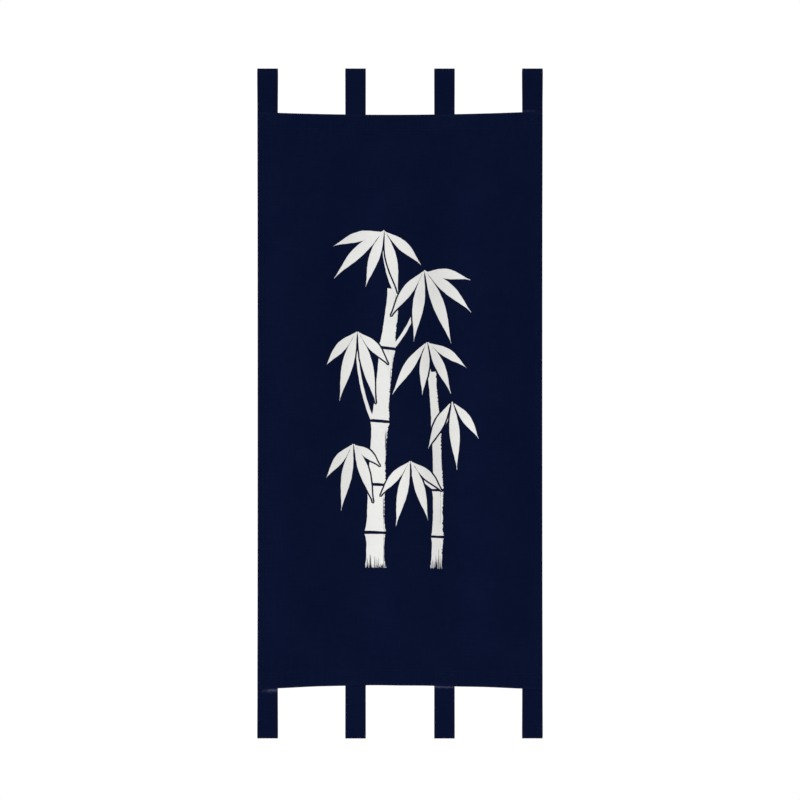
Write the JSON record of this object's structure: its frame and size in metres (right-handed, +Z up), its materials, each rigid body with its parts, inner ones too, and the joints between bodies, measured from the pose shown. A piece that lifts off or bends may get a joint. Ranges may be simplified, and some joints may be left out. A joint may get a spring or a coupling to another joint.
{
  "type": "noren curtain",
  "caption": "Long hanging cloth panel with hemmed edges and loop tabs along its top and bottom for a rod to pass through.",
  "frame": {"origin": "middle of the top edge, level with the crowns of the top loops and over the axis of the rod that they hang on", "axes": "+Z up, -Y the printed front, +X to the right of someone facing the front"},
  "size_m": [0.6, 0.0244, 1.4094],
  "materials": {
    "panel_cloth": "matt plain-weave cotton, deep navy, with an off-white printed bamboo spray",
    "tab_cloth": "matt plain-weave cotton, deep navy"
  },
  "bodies": {
    "root": {"panel": "panel_cloth", "top_tab_1": "tab_cloth", "top_tab_2": "tab_cloth", "top_tab_3": "tab_cloth", "top_tab_4": "tab_cloth", "bottom_tab_1": "tab_cloth", "bottom_tab_2": "tab_cloth", "bottom_tab_3": "tab_cloth", "bottom_tab_4": "tab_cloth"}
  },
  "joints": []
}
